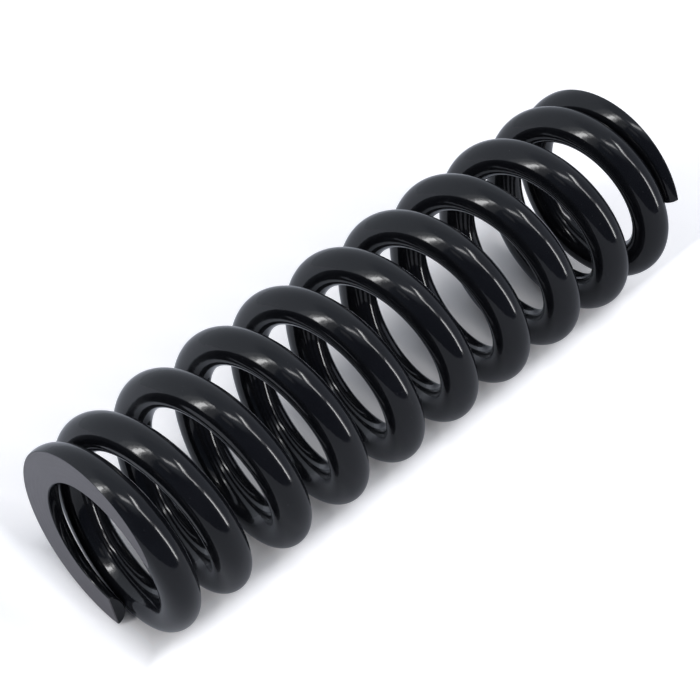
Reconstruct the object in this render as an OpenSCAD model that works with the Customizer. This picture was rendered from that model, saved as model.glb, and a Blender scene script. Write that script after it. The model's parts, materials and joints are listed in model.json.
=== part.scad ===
// Round-wire compression spring with closed and ground ends, lying along X.
// The wire is one steel bar. It is divided at planes through the spring's axis into two rigid end
// coils and a row of quarter turns, each of which slides along the axis by its own share as the
// spring shortens.
// Angles go round the axis from +Y towards +Z, and the helix is right-handed.

/* [Wire] */
// Diameter of the coated wire
wire_d = 11; // [10:0.1:11.5]
// Thickness of the wire's tip after grinding
tip_thickness = 3; // [2:0.1:5]

/* [Coil] */
// Diameter of the coil's centreline
coil_d = 53; // [46:0.5:80]
// Length between the two ground faces with no load
free_length = 205.5; // [190:0.5:230]
// Turns of wire from tip to tip
total_turns = 10.73; // [10.6:0.01:10.9]
// Direction of the lower wire tip round the axis
tip_angle = 256; // [0:1:359]

/* [Closed ends] */
// Advance per turn where the end coils lie closed
closed_pitch = 11.3; // [11.1:0.1:12]
// Turns from each tip to where the pitch starts to open
closed_turns = 0.72; // [0.6:0.01:0.9]
// Turns from each tip to where the pitch is fully open
open_turns = 1.75; // [1.6:0.01:1.9]
// Diameter of the coil's centreline where each end coil is wound tightest
tight_coil_d = 49.6; // [45:0.1:80]
// Turns from each tip to where the coil starts to tighten
tight_from = 0.12; // [0:0.01:0.4]
// Turns from the lower tip to where the lower end coil is tightest
lower_tight_at = 0.6; // [0.5:0.01:0.8]
// Turns from the upper tip to where the upper end coil is tightest
upper_tight_at = 0.78; // [0.5:0.01:0.8]

/* [Sheared tips] */
// Length of wire sheared off the lower tip
lower_trim = 3.3; // [0:0.1:6]
// Length of wire sheared off the upper tip
upper_trim = 1; // [0:0.1:6]
// Angle between the sheared face and a plane through the axis, seen along the axis
shear_skew = 13; // [0:1:25]
// Angle by which the sheared face leans over its thin edge, seen across the wire
shear_lean = 22; // [0:1:30]

/* [Hidden] */
wire_r = wire_d / 2;
coil_r = coil_d / 2;

// The moving length is a whole number of quarter turns
QUARTERS = 35;
QUARTER_ANGLE = 90;
end_turns = (total_turns - QUARTERS * QUARTER_ANGLE / 360) / 2;

// Distance of the wire's centre from the seat plane at the tip, negative below the plane
tip_offset = tip_thickness - wire_r;
end_rise = closed_pitch * total_turns + 2 * tip_offset;
open_pitch = closed_pitch + (free_length - end_rise) / (total_turns - closed_turns - open_turns);

// Angle left free at each cut so that neighbours slide without rubbing, about 0.01 mm of wire
cut_angle = 0.02;

// Extra angle swept past each cut of a quarter turn before it is trimmed
SPARE_ANGLE = 4;

// Width of the wedge that trims a quarter turn, well over the wire's
wedge_width = 4 * wire_d;

// An end coil is a skin of flat facets: sides round the wire, and degrees from ring to ring
RING_SIDES = 24;
RING_STEP = 10;

// Part of a turn over which the wire's slope is measured, each way
SLOPE_REACH = 0.001;

// Part of a turn over which the rings turn from the sheared face to planes through the axis
SHEAR_REACH = 0.08;

$fn = 96;

// Smooth step from 0 at t = 0 to 1 at t = 1
function ease(t) =
    let (s = min(max(t, 0), 1))
    s * s * (3 - 2 * s);

function quarter_name(k) = str("coil_", floor(k / 4) + 1, "_quarter_", k % 4 + 1);

// Radius of an end coil's centreline at u turns from its tip; it is back at its full size where the
// end coil ends
function centre_r(u, tight_at) =
    let (
        tightening = ease((u - tight_from) / (tight_at - tight_from)),
        opening = ease((u - tight_at) / (end_turns - tight_at))
    )
    (coil_d - (coil_d - tight_coil_d) * (tightening - opening)) / 2;

// Integral of the smooth step that opens the pitch, in turns, at u turns from a tip
function opened_turns(u) =
    let (s = min(max((u - closed_turns) / (open_turns - closed_turns), 0), 1))
    (open_turns - closed_turns) * (pow(s, 3) - pow(s, 4) / 2) + max(u - open_turns, 0);

// Height of the wire's centre above the nearer seat plane, from that end's own tip
function rise_from_tip(u) =
    tip_offset + closed_pitch * u + (open_pitch - closed_pitch) * opened_turns(u);

// X of the wire's centre at u turns from the lower tip
function centre_x(u) =
    u < total_turns / 2 ? rise_from_tip(u) : free_length - rise_from_tip(total_turns - u);

// Share of the sheared face's tilt that a ring still has, at t turns from that face
function tilt_share(t) = 1 - ease(t / SHEAR_REACH);

// One ring of points: the wire's section in a plane through the axis, tilted next to the tip
function ring(u, tip_turns, tight_at) =
    let (
        climb = rise_from_tip(u + SLOPE_REACH) - rise_from_tip(u - SLOPE_REACH),
        slope = atan(climb / (2 * SLOPE_REACH * PI * coil_d)),
        across = wire_r / cos(slope),
        tilted = tilt_share(u - tip_turns),
        angle = 360 * u
    )
    [for (i = [0 : RING_SIDES - 1])
        let (
            a = 360 * i / RING_SIDES,
            x = rise_from_tip(u) + across * sin(a),
            out = wire_r * cos(a),
            radius = centre_r(u, tight_at) + out,
            ahead = tilted * (out * tan(shear_skew) + x * tan(shear_lean))
        )
        [x, radius * cos(angle) + ahead * sin(angle), radius * sin(angle) - ahead * cos(angle)]
    ];

// Closed and ground end coil with its seat on X = 0 and its tip on the +Y side, less the trim, and
// tightest at tight_at turns from the tip
module end_coil(trim, tight_at) {
    tip_turns = trim / (PI * coil_d);
    rings = ceil(360 * end_turns / RING_STEP);
    ring_gap = (end_turns - tip_turns) / rings;
    points = [for (j = [0 : rings]) each ring(tip_turns + ring_gap * j, tip_turns, tight_at)];
    last = rings * RING_SIDES;
    walls = [
        for (j = [0 : rings - 1], i = [0 : RING_SIDES - 1])
            let (
                a = j * RING_SIDES + i,
                b = j * RING_SIDES + (i + 1) % RING_SIDES
            )
            each [[a, a + RING_SIDES, b], [b, a + RING_SIDES, b + RING_SIDES]]
    ];
    tip_cap = [for (i = [0 : RING_SIDES - 1]) i];
    end_cap = [for (i = [RING_SIDES - 1 : -1 : 0]) last + i];
    difference() {
        polyhedron(points, concat([tip_cap], walls, [end_cap]), convexity = 6);
        translate([-2 * wire_d, -coil_d, -coil_d])
            cube([2 * wire_d, 2 * coil_d, 2 * coil_d]);
    }
}

module lower_end_coil() {
    color("#101114") rotate([tip_angle, 0, 0]) end_coil(lower_trim, lower_tight_at);
}

module upper_end_coil() {
    color("#101114")
        translate([free_length, 0, 0])
            rotate([tip_angle + 360 * total_turns, 0, 0])
                rotate([0, 180, 0])
                    end_coil(upper_trim, upper_tight_at);
}

// Quarter turn k of the moving length: one arc in a plane tilted to the local pitch, trimmed by two
// planes through the spring's axis
module quarter_turn(k) {
    u = end_turns + k * QUARTER_ANGLE / 360;
    half = QUARTER_ANGLE / 2;
    x_start = centre_x(u);
    x_end = centre_x(u + QUARTER_ANGLE / 360);
    tilt = atan((x_end - x_start) / (2 * coil_r * sin(half)));
    // The arc has no radial slope at its ends, so that neighbouring arcs run on smoothly
    arc_half = atan(tan(half) * cos(tilt));
    arc_r = coil_r * sin(half) / (sin(arc_half) * cos(tilt));
    arc_centre = coil_r * cos(half) - arc_r * cos(arc_half);
    sweep_half = arc_half + SPARE_ANGLE;
    wedge_half = coil_d * tan(half - cut_angle);
    color(k % 2 == 0 ? "#16181c" : "#101114")
        translate([(x_start + x_end) / 2, 0, 0])
            rotate([tip_angle + 360 * u + half, 0, 0])
                intersection() {
                    rotate([0, tilt, 0])
                        rotate([90, 0, 90])
                            translate([arc_centre, 0, 0])
                                rotate([0, 0, -sweep_half])
                                    rotate_extrude(angle = 2 * sweep_half)
                                        translate([arc_r, 0])
                                            circle(r = wire_r);
                    rotate([90, 0, 90])
                        linear_extrude(height = wedge_width, center = true)
                            polygon([[0, 0], [coil_d, -wedge_half], [coil_d, wedge_half]]);
                }
}

lower_end_coil();
for (k = [0 : QUARTERS - 1])
    quarter_turn(k);
upper_end_coil();
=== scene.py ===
"""Looks of a black coil spring lying on its side.

Smooth wire pieces that stand for the CAD lengths of wire, the coat's materials, a floor, lights and a camera.
The wire's angles go round the spring's axis from +Y towards +Z, and u counts turns of wire.
"""

import json
import math

import bpy
import numpy as np
from mathutils import Matrix, Vector


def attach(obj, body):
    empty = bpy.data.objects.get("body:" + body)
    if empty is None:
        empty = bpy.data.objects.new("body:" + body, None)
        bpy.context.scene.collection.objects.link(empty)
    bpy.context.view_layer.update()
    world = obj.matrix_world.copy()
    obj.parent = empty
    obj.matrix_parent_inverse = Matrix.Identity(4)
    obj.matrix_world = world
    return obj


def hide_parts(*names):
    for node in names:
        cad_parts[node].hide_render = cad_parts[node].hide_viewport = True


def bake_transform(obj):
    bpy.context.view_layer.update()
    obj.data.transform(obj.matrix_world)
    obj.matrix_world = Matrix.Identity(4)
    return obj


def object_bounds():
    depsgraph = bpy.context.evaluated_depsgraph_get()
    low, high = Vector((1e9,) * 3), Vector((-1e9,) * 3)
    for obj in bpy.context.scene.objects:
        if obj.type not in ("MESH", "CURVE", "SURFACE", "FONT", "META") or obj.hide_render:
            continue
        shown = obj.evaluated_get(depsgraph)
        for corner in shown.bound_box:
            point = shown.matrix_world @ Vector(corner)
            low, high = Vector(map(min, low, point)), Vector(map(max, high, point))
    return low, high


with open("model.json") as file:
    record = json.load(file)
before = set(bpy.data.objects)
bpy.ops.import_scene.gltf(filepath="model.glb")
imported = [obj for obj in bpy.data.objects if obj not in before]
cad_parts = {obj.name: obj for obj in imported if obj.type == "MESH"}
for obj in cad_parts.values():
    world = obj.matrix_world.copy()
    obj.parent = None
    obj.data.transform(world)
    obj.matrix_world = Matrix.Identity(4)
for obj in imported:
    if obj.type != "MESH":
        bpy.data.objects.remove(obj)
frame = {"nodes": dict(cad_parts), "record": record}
cad_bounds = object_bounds()

# The spring's dimensions as in the CAD model, in metres and turns, with the shear's angles as slopes
WIRE_R = 0.0055
COIL_R = 0.0265
TIGHT_COIL_R = 0.0248
TIP_THICKNESS = 0.003
CLOSED_PITCH = 0.0113
TOTAL_TURNS = 10.73
CLOSED_TURNS = 0.72
OPEN_TURNS = 1.75
TIGHT_FROM = 0.12
LOWER_TIGHT_AT = 0.6
UPPER_TIGHT_AT = 0.78
TIP_ANGLE = math.radians(256)
LOWER_TRIM = 0.0033
UPPER_TRIM = 0.001
SHEAR_SKEW = math.tan(math.radians(13))
SHEAR_LEAN = math.tan(math.radians(22))
SHEAR_REACH = 0.08

# The ends of the spring, from the record's mounts
MOUNTS = {m["name"]: Vector(m["pos_m"]) for m in frame["record"]["mounts"]}
FREE_LENGTH = MOUNTS["upper_seat"].x - MOUNTS["lower_seat"].x
CENTRE = (MOUNTS["upper_seat"] + MOUNTS["lower_seat"]) / 2

# The row of quarter turns between the two end coils
QUARTERS = sorted(
    (n for n in frame["nodes"] if "quarter" in n),
    key=lambda n: tuple(int(part) for part in n.split("_") if part.isdigit()),
)
BEHAVIOUR = frame["record"]["behaviour"]
NODE_BODY = {n: b for b, nodes in BEHAVIOUR["bodies"].items() for n in nodes}
LOWER, UPPER = NODE_BODY["lower_end_coil"], NODE_BODY["upper_end_coil"]

# Each body's share of the upper end's travel
CHILD = {j["name"]: j["child"] for j in BEHAVIOUR["joints"]}
SHARE = {CHILD[c["joint"]]: c["ratio"] for c in BEHAVIOUR["couplings"]} | {LOWER: 0.0, UPPER: 1.0}

# Lengths of the smooth pieces of moving wire, in turns
QUARTER_TURN = 0.25
EIGHTH_TURN = 0.125

# Turns of wire in each end coil, and the pitch of the active turns
END_TURNS = (TOTAL_TURNS - len(QUARTERS) * QUARTER_TURN) / 2
OPEN_PITCH = CLOSED_PITCH + (
    FREE_LENGTH - 2 * (TIP_THICKNESS - WIRE_R) - CLOSED_PITCH * TOTAL_TURNS
) / (TOTAL_TURNS - CLOSED_TURNS - OPEN_TURNS)

# Mesh density: rings along the wire, and points round it, across the ground flat and round each edge
RINGS_PER_TURN = 144
SECTION_STEPS = 56
FLAT_STEPS = 10
EDGE_STEPS = 5

# Closer rings where the ground flat runs out, from so many turns before to so many after
RUNOUT_BEFORE, RUNOUT_AFTER = 0.012, 0.002
RUNOUT_RINGS = 15

# Radii of the small rounded edges of the ground flat and of the sheared face
SEAT_EDGE_R = 0.00035
TIP_EDGE_R = 0.0003

# Part of a turn over which an end coil's slope is measured, each way
SLOPE_REACH = 1e-4

COAT_IOR = 1.5

AXIS = np.array([1.0, 0.0, 0.0])

# The floor that the camera sees, and the smaller one with painted shade that only the coat mirrors, just
# above it
FLOOR_HALF = 3.0
MIRRORED_HALF = 0.4
MIRRORED_LIFT = 0.0001

# The lights' distance from the middle of the spring
LIGHT_DISTANCE = 4.5


# ---- the wire's centreline ----

def smooth_step(t):
    """0 below t = 0, 1 above t = 1, and a smooth step between."""
    t = np.clip(t, 0.0, 1.0)
    return t * t * (3 - 2 * t)


def centre_radius(u, tight_at):
    """Radius of an end coil u turns from its tip."""
    tightening = smooth_step((u - TIGHT_FROM) / (tight_at - TIGHT_FROM))
    opening = smooth_step((u - tight_at) / (END_TURNS - tight_at))
    return COIL_R - (COIL_R - TIGHT_COIL_R) * (tightening - opening)


def rise_from_tip(u):
    """Height of the wire's centre over its seat plane, u turns from that end's tip."""
    span = OPEN_TURNS - CLOSED_TURNS
    s = np.clip((u - CLOSED_TURNS) / span, 0.0, 1.0)
    opened = span * (s**3 - s**4 / 2) + np.maximum(u - OPEN_TURNS, 0.0)
    return TIP_THICKNESS - WIRE_R + CLOSED_PITCH * u + (OPEN_PITCH - CLOSED_PITCH) * opened


def centre_x(u):
    """X of the wire's centre, u turns from the lower tip."""
    return np.where(
        u < TOTAL_TURNS / 2,
        rise_from_tip(u),
        FREE_LENGTH - rise_from_tip(TOTAL_TURNS - u),
    )


def radial(angle):
    """Unit vector out from the axis at an angle."""
    return np.stack([np.zeros_like(angle), np.cos(angle), np.sin(angle)], -1)


def around(angle):
    """Unit vector square to the axis and to radial, the way the angle grows."""
    return np.stack([np.zeros_like(angle), -np.sin(angle), np.cos(angle)], -1)


def tilt_share(turns):
    """Share of the sheared face's tilt that the wire still has, so many turns from that face."""
    return 1 - smooth_step(turns / SHEAR_REACH)


# ---- meshes ----

def build_mesh(name, verts, normals, faces, materials, face_slots):
    """A smooth mesh with its corner normals given, as one list for each face in its corners' order."""
    mesh = bpy.data.meshes.new(name)
    mesh.from_pydata([tuple(v) for v in verts], [], [tuple(f) for f in faces])
    for material in materials:
        mesh.materials.append(material)
    mesh.polygons.foreach_set("material_index", face_slots)
    mesh.polygons.foreach_set("use_smooth", [True] * len(mesh.polygons))
    mesh.update()
    mesh.normals_split_custom_set([tuple(n) for corners in normals for n in corners])
    piece = bpy.data.objects.new(name, mesh)
    bpy.context.scene.collection.objects.link(piece)
    return piece


def wire_piece(name, u_start, u_end, material):
    """The wire from u_start to u_end, closed by a flat disc at each cut."""
    rings = round(RINGS_PER_TURN * (u_end - u_start))
    u = np.linspace(u_start, u_end, rings + 1)
    angle = TIP_ANGLE + 2 * math.pi * u
    slope = np.gradient(centre_x(u), u) / (2 * math.pi * COIL_R)
    lean = np.sqrt(1 + slope**2)
    er, ea = radial(angle), around(angle)
    # Across the wire, square to its run: mostly along the axis
    across = (AXIS - slope[:, None] * ea) / lean[:, None]
    b = np.arange(SECTION_STEPS) * 2 * math.pi / SECTION_STEPS
    centre = centre_x(u)[:, None] * AXIS + COIL_R * er
    cos_b, sin_b = np.cos(b)[None, :, None], np.sin(b)[None, :, None]
    # Each ring lies in a plane through the spring's axis, where the wire's section is an ellipse
    verts = centre[:, None] + WIRE_R * (
        er[:, None] * cos_b + AXIS * sin_b * lean[:, None, None]
    )
    normals = er[:, None] * cos_b + across[:, None] * sin_b
    verts, normals = verts.reshape(-1, 3), normals.reshape(-1, 3)
    faces, corners = [], []
    for i in range(rings):
        for j in range(SECTION_STEPS):
            k = (j + 1) % SECTION_STEPS
            a, c = i * SECTION_STEPS, (i + 1) * SECTION_STEPS
            face = (a + j, c + j, c + k, a + k)
            faces.append(face)
            corners.append(normals[list(face)])
    last = rings * SECTION_STEPS
    start_disc = tuple(range(SECTION_STEPS))
    end_disc = tuple(last + j for j in reversed(range(SECTION_STEPS)))
    for disc, facing in ((start_disc, -ea[0]), (end_disc, ea[-1])):
        faces.append(disc)
        corners.append([facing] * SECTION_STEPS)
    return build_mesh(name, verts, corners, faces, [material], [0] * len(faces))


def ground_section(x, r, plane, edge):
    """Outline of round wire of radius r centred x above the seat, cut off at plane, its corners rounded.

    Each row is a point's place along the axis and outward, the angle that it faces and how far it
    belongs to the flat. The second result says whether the wire reaches the flat at all.
    """
    sine = np.clip((plane + edge - x) / (r - edge), -1.0, 1.0)
    start = math.asin(sine)
    cut = sine > -1.0
    along, out = x + (r - edge) * sine, (r - edge) * math.cos(start)
    rows = []
    for b in np.linspace(start, math.pi - start, SECTION_STEPS + 1):
        rows.append((x + r * math.sin(b), r * math.cos(b), b, 0.0))
    for t in np.linspace(0, 1, EDGE_STEPS + 1)[1:]:
        b = (math.pi - start) + t * (math.pi / 2 + start)
        rows.append((along + edge * math.sin(b), -out + edge * math.cos(b), b, t * cut))
    for t in np.linspace(0, 1, FLAT_STEPS + 1)[1:]:
        rows.append((along - edge, out * (2 * t - 1), -math.pi / 2, 1.0 * cut))
    for t in np.linspace(0, 1, EDGE_STEPS + 1)[1:-1]:
        b = -math.pi / 2 + t * (math.pi / 2 + start)
        rows.append((along + edge * math.sin(b), out + edge * math.cos(b), b, (1 - t) * cut))
    return np.array(rows), cut


def end_rings(tip_turns):
    """Turns from the tip, inset and facing share of each ring of an end coil, sheared face first."""
    tip = []
    for t in np.linspace(1, 0, EDGE_STEPS + 1):
        bend = t * math.pi / 2
        u = tip_turns + TIP_EDGE_R * (1 - math.sin(bend)) / (2 * math.pi * COIL_R)
        tip.append((u, TIP_EDGE_R * (1 - math.cos(bend)), math.sin(bend)))
    even = np.linspace(tip_turns, END_TURNS, int(END_TURNS * RINGS_PER_TURN) + 1)
    # Turns from the tip at which the ground flat runs out
    runout = (2 * WIRE_R - TIP_THICKNESS) / CLOSED_PITCH
    close = runout + np.linspace(-RUNOUT_BEFORE, RUNOUT_AFTER, RUNOUT_RINGS)
    steps = np.unique(np.round(np.concatenate([even, close]), 6))
    steps[-1] = END_TURNS
    edge_turns = tip[-1][0] - tip_turns
    return tip + [(u, 0.0, 0.0) for u in steps if u - tip_turns > 2 * edge_turns]


def end_coil_arrays(trim, tight_at):
    """Vertices, faces, corner normals and slots of an end coil.

    Its seat is at X = 0 and its tip near angle 0.
    """
    tip_turns = trim / (2 * math.pi * COIL_R)
    verts, normals, ids = [], [], []
    for u, inset, facing in end_rings(tip_turns):
        angle = 2 * math.pi * u
        tilted = float(tilt_share(u - tip_turns))
        er, ea = radial(np.array(angle)), around(np.array(angle))
        climb = rise_from_tip(u + SLOPE_REACH) - rise_from_tip(u - SLOPE_REACH)
        slope = climb / (4 * SLOPE_REACH * math.pi * COIL_R)
        lean = math.sqrt(1 + slope**2)
        across = (AXIS - slope * ea) / lean
        mid = rise_from_tip(u)
        rows, cut = ground_section(mid, WIRE_R - inset, inset, SEAT_EDGE_R - inset)
        ring_ids = []
        round_part = SECTION_STEPS + 1
        for j, (x, out, b, flat) in enumerate(rows):
            if not cut and j >= SECTION_STEPS:
                # Past the flat a ring is a plain circle, and its spare points are all the first one
                ring_ids.append(ring_ids[0])
                continue
            stretch = 1 + (lean - 1) * (1 - flat)
            x = mid + (x - mid) * stretch if j < round_part else x
            side = across * (1 - flat) + AXIS * flat
            n = er * math.cos(b) + side / np.linalg.norm(side) * math.sin(b)
            n = n * math.sqrt(1 - facing**2) - ea * facing
            n = n + tilted * (SHEAR_SKEW * er + SHEAR_LEAN * AXIS) * (n @ ea)
            x = max(x, inset)
            ahead = tilted * (SHEAR_SKEW * out + SHEAR_LEAN * x)
            ring_ids.append(len(verts))
            verts.append(AXIS * x + er * (centre_radius(u, tight_at) + out) - ea * ahead)
            normals.append(n / np.linalg.norm(n))
        ids.append(ring_ids)
    normals = np.array(normals)
    count = len(ids[0])
    flat_from, flat_to = SECTION_STEPS + EDGE_STEPS, SECTION_STEPS + EDGE_STEPS + FLAT_STEPS
    faces, corners, slots = [], [], []
    for lower, upper in zip(ids, ids[1:]):
        for j in range(count):
            k = (j + 1) % count
            face = []
            for v in (lower[j], upper[j], upper[k], lower[k]):
                if v not in face:
                    face.append(v)
            if len(face) < 3:
                continue
            faces.append(tuple(face))
            corners.append(normals[face])
            slots.append(1 if flat_from <= j < flat_to else 0)
    # The sheared face, and the disc at the cut
    angle = np.array(2 * math.pi * tip_turns)
    facing = -around(angle) - SHEAR_SKEW * radial(angle) - SHEAR_LEAN * AXIS
    faces.append(tuple(ids[0]))
    corners.append([facing / np.linalg.norm(facing)] * count)
    slots.append(0)
    end_disc = list(dict.fromkeys(reversed(ids[-1])))
    faces.append(tuple(end_disc))
    corners.append([around(np.array(2 * math.pi * END_TURNS))] * len(end_disc))
    slots.append(0)
    return np.array(verts), faces, corners, slots


def end_piece(name, placement, trim, tight_at, materials):
    """An end coil put in place by a 4 x 4 matrix."""
    verts, faces, corners, slots = end_coil_arrays(trim, tight_at)
    turn = np.array(placement.to_3x3())
    verts = verts @ turn.T + np.array(placement.translation)
    corners = [[turn @ n for n in face] for face in corners]
    return build_mesh(name, verts, corners, faces, materials, slots)


# ---- materials ----

def node_material(name):
    """A new material: itself, its node tree, its shader and the object's own coordinates."""
    material = bpy.data.materials.new(name)
    material.use_nodes = True
    tree = material.node_tree
    shader = tree.nodes["Principled BSDF"]
    place = tree.nodes.new("ShaderNodeTexCoord").outputs["Object"]
    return material, tree, shader, place


def noise(tree, place, scale, detail=2.0, roughness=0.5):
    """Noise from 0 to 1, whose scale is about its number of features to a metre."""
    node = tree.nodes.new("ShaderNodeTexNoise")
    node.inputs["Scale"].default_value = scale
    node.inputs["Detail"].default_value = detail
    node.inputs["Roughness"].default_value = roughness
    tree.links.new(place, node.inputs["Vector"])
    return node.outputs["Fac"]


def ramp(tree, value, stops):
    """A colour ramp through (position, colour) stops."""
    node = tree.nodes.new("ShaderNodeValToRGB")
    elements = node.color_ramp.elements
    elements[0].position, elements[0].color = stops[0][0], (*stops[0][1], 1)
    elements[1].position, elements[1].color = stops[-1][0], (*stops[-1][1], 1)
    for position, colour in stops[1:-1]:
        elements.new(position).color = (*colour, 1)
    tree.links.new(value, node.inputs["Fac"])
    return node.outputs["Color"]


def ramp_along(tree, value, stops):
    """A colour ramp through (value, colour) stops, where the values may be any numbers."""
    low, high = stops[0][0], stops[-1][0]
    node = tree.nodes.new("ShaderNodeMapRange")
    node.inputs["From Min"].default_value = low
    node.inputs["From Max"].default_value = high
    tree.links.new(value, node.inputs["Value"])
    moved = [((at - low) / (high - low), colour) for at, colour in stops]
    return ramp(tree, node.outputs["Result"], moved)


def band(tree, value, stops):
    """A strength that changes through (value, strength) stops."""
    return ramp_along(tree, value, [(at, (strength,) * 3) for at, strength in stops])


def spread(tree, value, low, high):
    """Value from 0..1 moved to low..high."""
    node = tree.nodes.new("ShaderNodeMapRange")
    node.inputs["To Min"].default_value = low
    node.inputs["To Max"].default_value = high
    tree.links.new(value, node.inputs["Value"])
    return node.outputs["Result"]


def bump(tree, height, distance, strength):
    """A normal that follows a height of 0 to 1 over a distance in metres."""
    node = tree.nodes.new("ShaderNodeBump")
    node.inputs["Distance"].default_value = distance
    node.inputs["Strength"].default_value = strength
    tree.links.new(height, node.inputs["Height"])
    return node.outputs["Normal"]


def combine(tree, operation, first, second):
    """Two values put together by a Math node."""
    node = tree.nodes.new("ShaderNodeMath")
    node.operation = operation
    tree.links.new(first, node.inputs[0])
    tree.links.new(second, node.inputs[1])
    return node.outputs["Value"]


def mix(tree, share, under, over):
    """The colour socket under, with the plain colour over laid on it by share."""
    node = tree.nodes.new("ShaderNodeMix")
    node.data_type = "RGBA"
    factor, first, second = (socket for socket in node.inputs if socket.enabled)
    tree.links.new(share, factor)
    tree.links.new(under, first)
    second.default_value = (*over, 1)
    return next(socket for socket in node.outputs if socket.enabled)


def gloss_coat():
    """Gloss black coat: deep black with a faint blue cast, orange peel, a few dull scuffs and dust."""
    material, tree, shader, place = node_material("gloss_black_coat")
    shade = noise(tree, place, scale=90, detail=3)
    colour = ramp(tree, shade, [(0.3, (0.0045, 0.0048, 0.0062)), (0.7, (0.0068, 0.0072, 0.0090))])
    dust = (0.030, 0.031, 0.034)
    specks = noise(tree, place, scale=1500, detail=1.0)
    specks = ramp(tree, specks, [(0.74, (0, 0, 0)), (0.79, (0.7, 0.7, 0.7))])
    tree.links.new(mix(tree, specks, colour, dust), shader.inputs["Base Color"])
    # Scuffs lie in patches, each broken up by finer noise
    patches = noise(tree, place, scale=42, detail=2.0)
    patches = ramp(tree, patches, [(0.60, (0, 0, 0)), (0.68, (1, 1, 1))])
    streaks = noise(tree, place, scale=620, detail=3.0, roughness=0.6)
    streaks = ramp(tree, streaks, [(0.56, (0, 0, 0)), (0.66, (1, 1, 1))])
    scuffs = combine(tree, "MULTIPLY", patches, streaks)
    haze = noise(tree, place, scale=260, detail=4, roughness=0.65)
    haze = spread(tree, haze, low=0.08, high=0.13)
    dull = combine(tree, "MULTIPLY", scuffs, haze)
    tree.links.new(combine(tree, "ADD", haze, dull), shader.inputs["Roughness"])
    shader.inputs["IOR"].default_value = COAT_IOR
    peel = noise(tree, place, scale=520, detail=1.5)
    peel = bump(tree, peel, distance=0.0005, strength=0.04)
    tree.links.new(peel, shader.inputs["Normal"])
    return material


def seat_coat():
    """The same coat over the ground seat, thin and satin, with faint swirls left by the grinding wheel."""
    material, tree, shader, place = node_material("ground_seat_coat")
    shade = noise(tree, place, scale=140, detail=3)
    colour = ramp(tree, shade, [(0.3, (0.076, 0.071, 0.078)), (0.7, (0.085, 0.080, 0.088))])
    tree.links.new(colour, shader.inputs["Base Color"])
    haze = noise(tree, place, scale=300, detail=4, roughness=0.65)
    haze = spread(tree, haze, low=0.30, high=0.38)
    tree.links.new(haze, shader.inputs["Roughness"])
    shader.inputs["IOR"].default_value = COAT_IOR
    swirls = tree.nodes.new("ShaderNodeTexWave")
    swirls.wave_type = "RINGS"
    swirls.rings_direction = "X"
    swirls.inputs["Scale"].default_value = 190
    swirls.inputs["Distortion"].default_value = 1.5
    swirls.inputs["Detail"].default_value = 2.0
    tree.links.new(place, swirls.inputs["Vector"])
    grooves = bump(tree, swirls.outputs["Fac"], distance=0.0002, strength=0.04)
    tree.links.new(grooves, shader.inputs["Normal"])
    return material


def bright_floor():
    """Matt white floor that gives off a little light of its own, except close round the spring."""
    material, tree, shader, place = node_material("white_floor")
    grain = noise(tree, place, scale=60, detail=4)
    colour = ramp(tree, grain, [(0.2, (0.935, 0.910, 0.895)), (0.8, (0.95, 0.925, 0.91))])
    tree.links.new(colour, shader.inputs["Base Color"])
    shader.inputs["Roughness"].default_value = 0.7
    split = tree.nodes.new("ShaderNodeSeparateXYZ")
    tree.links.new(place, split.inputs["Vector"])
    # Strength of the floor's painted light, its own glow, at distances across the spring and along it; it
    # fades out close round the spring, so that only there the real shadow shows
    across = band(tree, split.outputs["Y"], (
        (-0.10, 0.35), (-0.036, 0.6), (-0.0245, 0.7), (-0.0215, 0.5), (-0.018, 0.12), (-0.0135, 0),
        (0.024, 0), (0.029, 0.06), (0.036, 0.25), (0.05, 0.25), (0.10, 0.35),
    ))
    lengthwise = band(tree, split.outputs["X"], (
        (-0.10, 0.35), (-0.02, 0.42), (-0.010, 0.55), (-0.005, 0.5), (0.0015, 0.14), (0.004, 0),
        (FREE_LENGTH - 0.020, 0), (FREE_LENGTH - 0.004, 0.3), (FREE_LENGTH + 0.10, 0.35),
    ))
    tree.links.new(combine(tree, "MAXIMUM", across, lengthwise), shader.inputs["Emission Strength"])
    shader.inputs["Emission Color"].default_value = (0.94, 0.955, 1, 1)
    return material


def painted_shade_floor():
    """The floor as the coat mirrors it, grey with painted shade, which lightens behind the spring."""
    material, tree, shader, place = node_material("painted_shade_floor")
    split = tree.nodes.new("ShaderNodeSeparateXYZ")
    tree.links.new(place, split.inputs["Vector"])
    # Painted shade: darker on the near side of the spring, lighter behind it
    stops = [(-0.06, (0.46, 0.47, 0.50)), (0.06, (0.78, 0.80, 0.85))]
    colour = ramp_along(tree, split.outputs["Y"], stops)
    tree.links.new(colour, shader.inputs["Base Color"])
    shader.inputs["Roughness"].default_value = 0.8
    return material


# ---- the object ----

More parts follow.
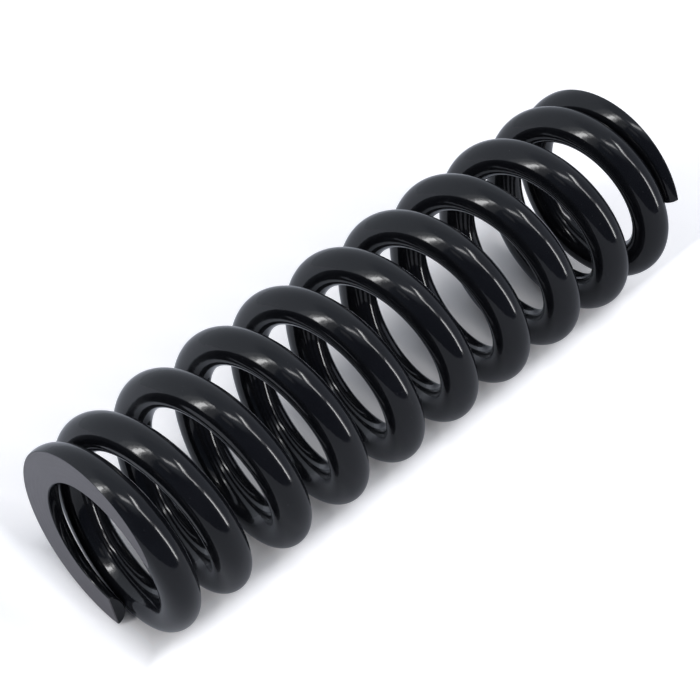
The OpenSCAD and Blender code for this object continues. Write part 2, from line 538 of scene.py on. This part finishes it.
def make_spring():
    """Every piece of the visible wire, standing for its CAD node; the end coils and the quarters whose share
    is none or all are put on their bodies.
    """
    coat, seat = gloss_coat(), seat_coat()
    lower_place = Matrix.Rotation(TIP_ANGLE, 4, "X")
    upper_place = (
        Matrix.Translation((FREE_LENGTH, 0, 0))
        @ Matrix.Rotation(TIP_ANGLE + 2 * math.pi * TOTAL_TURNS, 4, "X")
        @ Matrix.Rotation(math.pi, 4, "Y")
    )
    for node, placement, trim, tight_at in (
        ("lower_end_coil", lower_place, LOWER_TRIM, LOWER_TIGHT_AT),
        ("upper_end_coil", upper_place, UPPER_TRIM, UPPER_TIGHT_AT),
    ):
        piece = end_piece(node + "_wire", placement, trim, tight_at, [coat, seat])
        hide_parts(node)
        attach(piece, NODE_BODY[node])
    shares = [SHARE[NODE_BODY[node]] for node in QUARTERS]
    for k, node in enumerate(QUARTERS):
        u = END_TURNS + k * QUARTER_TURN
        if shares[k] in (0.0, 1.0):
            piece = wire_piece(node + "_wire", u, u + QUARTER_TURN, coat)
            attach(piece, NODE_BODY[node])
            finish_quarter(node)
            continue
        # Two eighths of a turn: the middle has the body's own share, each end the mean of two
        before = (shares[k - 1] + shares[k]) / 2 if shares[k - 1] > 0 else 0.0
        after = (shares[k] + shares[k + 1]) / 2 if shares[k + 1] < 1 else 1.0
        for half, (low, high) in enumerate(((before, shares[k]), (shares[k], after))):
            start = u + half * EIGHTH_TURN
            piece = wire_piece(f"{node}_wire_{half + 1}", start, start + EIGHTH_TURN, coat)
            finish_quarter(node)
            stretch(piece, start, low, high)


def finish_quarter(node):
    """Hides the CAD node of a piece of the moving wire."""
    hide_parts(node)


def stretch(piece, u, low, high):
    """Bakes the piece's placement into its mesh; the turn u and the shares low and high are not used."""
    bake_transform(piece)


# ---- the studio ----

def direction(azimuth, elevation):
    """Unit vector towards a compass direction: azimuth from +X towards +Y, elevation above the horizon."""
    a, e = math.radians(azimuth), math.radians(elevation)
    return Vector((math.cos(a) * math.cos(e), math.sin(a) * math.cos(e), math.sin(e)))


def make_floor():
    """The floor that the camera sees, and a grey one with painted shade that only the coat's reflections see.
    """
    height = cad_bounds[0][2]
    floor = plane_piece("floor", FLOOR_HALF, height, bright_floor())
    floor.visible_glossy = False
    mirrored = plane_piece("reflected_floor", MIRRORED_HALF, height + MIRRORED_LIFT, painted_shade_floor())
    mirrored.visible_camera = False
    mirrored.visible_diffuse = False
    mirrored.visible_shadow = False


def plane_piece(name, half, height, material):
    """A level square under the middle of the spring."""
    corners = ((-half, -half), (half, -half), (half, half), (-half, half))
    mesh = bpy.data.meshes.new(name)
    mesh.from_pydata([(CENTRE.x + x, y, height) for x, y in corners], [], [(0, 1, 2, 3)])
    mesh.materials.append(material)
    plane = bpy.data.objects.new(name, mesh)
    bpy.context.scene.collection.objects.link(plane)
    return plane


def make_softbox(name, azimuth, elevation, width, height, radiance):
    """A rectangular light seen from the spring at a direction, with its size given in degrees."""
    data = bpy.data.lights.new(name, "AREA")
    data.shape = "RECTANGLE"
    data.size = 2 * LIGHT_DISTANCE * math.tan(math.radians(width / 2))
    data.size_y = 2 * LIGHT_DISTANCE * math.tan(math.radians(height / 2))
    data.energy = radiance * math.pi * data.size * data.size_y
    light = bpy.data.objects.new(name, data)
    towards = direction(azimuth, elevation)
    light.location = CENTRE + towards * LIGHT_DISTANCE
    light.rotation_mode = "QUATERNION"
    light.rotation_quaternion = towards.to_track_quat("Z", "Y")
    light.visible_camera = False
    bpy.context.scene.collection.objects.link(light)


def make_lights():
    """Two upright strips and two overhead boxes in wider, dimmer glows, and a faint side panel."""
    for softbox in (
        # Name, azimuth, elevation, width, height and radiance, with angles in degrees
        ("strip_right", -60.5, 16.5, 4.0, 37, 11),
        ("strip_right_glow", -58.5, 16.5, 11, 40, 2.0),
        ("strip_right_top", -62, 54, 5, 19, 6),
        ("strip_right_top_glow", -61, 52, 10, 26, 1.2),
        ("strip_left", 163.5, 29, 4.2, 38, 11),
        ("strip_left_glow", 163.0, 35, 11, 56, 1.8),
        ("strip_left_haze", 163.5, 35, 26, 60, 0.35),
        ("strip_left_top", 163.5, 59, 4, 13, 4),
        ("overhead_far", -37.5, 63.0, 15, 4.0, 11),
        ("overhead_far_glow", -38, 62.2, 22, 10, 2.0),
        ("overhead_long", -117, 76, 19, 4.5, 5.5),
        ("overhead_long_glow", -117, 76, 26, 9, 1.5),
        ("side_panel", -164, 46, 12, 12, 0.3),
    ):
        make_softbox(*softbox)


def make_world():
    """Soft surroundings: pale walls on the far side and a dark room behind the camera."""
    world = bpy.data.worlds.new("studio")
    world.use_nodes = True
    tree = world.node_tree
    background = tree.nodes["Background"]
    place = tree.nodes.new("ShaderNodeTexCoord").outputs["Generated"]
    compass = tree.nodes.new("ShaderNodeTexGradient")
    compass.gradient_type = "RADIAL"
    tree.links.new(place, compass.inputs["Vector"])
    dusk, room = (0.10, 0.12, 0.16), (0.05, 0.058, 0.085)
    side, wall, far = (0.34, 0.37, 0.44), (0.49, 0.53, 0.60), (0.62, 0.67, 0.75)
    # Colour by azimuth all the way round
    stops = (
        (-180, dusk), (-150, room), (-72, room), (-57, side),
        (-10, side), (20, wall), (153, far), (168, dusk),
    )
    stops = [(azimuth / 360 + 0.5, colour) for azimuth, colour in stops]
    walls = ramp(tree, compass.outputs["Fac"], stops)
    split = tree.nodes.new("ShaderNodeSeparateXYZ")
    tree.links.new(place, split.inputs["Vector"])
    overhead = ramp(tree, split.outputs["Z"], [(0.80, (0, 0, 0)), (0.92, (1, 1, 1))])
    room_light = mix(tree, overhead, walls, (0.42, 0.46, 0.53))
    # The camera itself sees a plain pale backdrop
    path = tree.nodes.new("ShaderNodeLightPath").outputs["Is Camera Ray"]
    tree.links.new(mix(tree, path, room_light, (0.96, 0.96, 0.965)), background.inputs["Color"])
    background.inputs["Strength"].default_value = 1.0
    bpy.context.scene.world = world


def make_camera():
    """Camera at the viewing angle of a product shot: over the near end, looking down along the spring."""
    azimuth, elevation, distance = -45.78, 47.69, 0.5854
    aim_right, aim_up, roll = -0.00603, -0.00063, math.radians(0.547)
    a, e = math.radians(azimuth), math.radians(elevation)
    back = Vector((math.sin(a) * math.cos(e), -math.cos(a) * math.cos(e), math.sin(e)))
    right = Vector((0, 0, 1)).cross(back).normalized()
    up = back.cross(right)
    place = CENTRE + back * distance
    aim = CENTRE + right * aim_right + up * aim_up
    back = (place - aim).normalized()
    right = Vector((0, 0, 1)).cross(back).normalized()
    up = back.cross(right)
    rolled_right = right * math.cos(roll) + up * math.sin(roll)
    rolled_up = up * math.cos(roll) - right * math.sin(roll)
    data = bpy.data.cameras.new("camera")
    data.lens = 103.69
    data.sensor_width = 36
    data.clip_start = 0.01
    camera = bpy.data.objects.new("camera", data)
    turned = Matrix((rolled_right, rolled_up, back)).transposed().to_4x4()
    camera.matrix_world = Matrix.Translation(place) @ turned
    bpy.context.scene.collection.objects.link(camera)
    bpy.context.scene.camera = camera


make_spring()
make_floor()
make_lights()
make_world()
make_camera()
bpy.context.scene.view_settings.view_transform = "Standard"
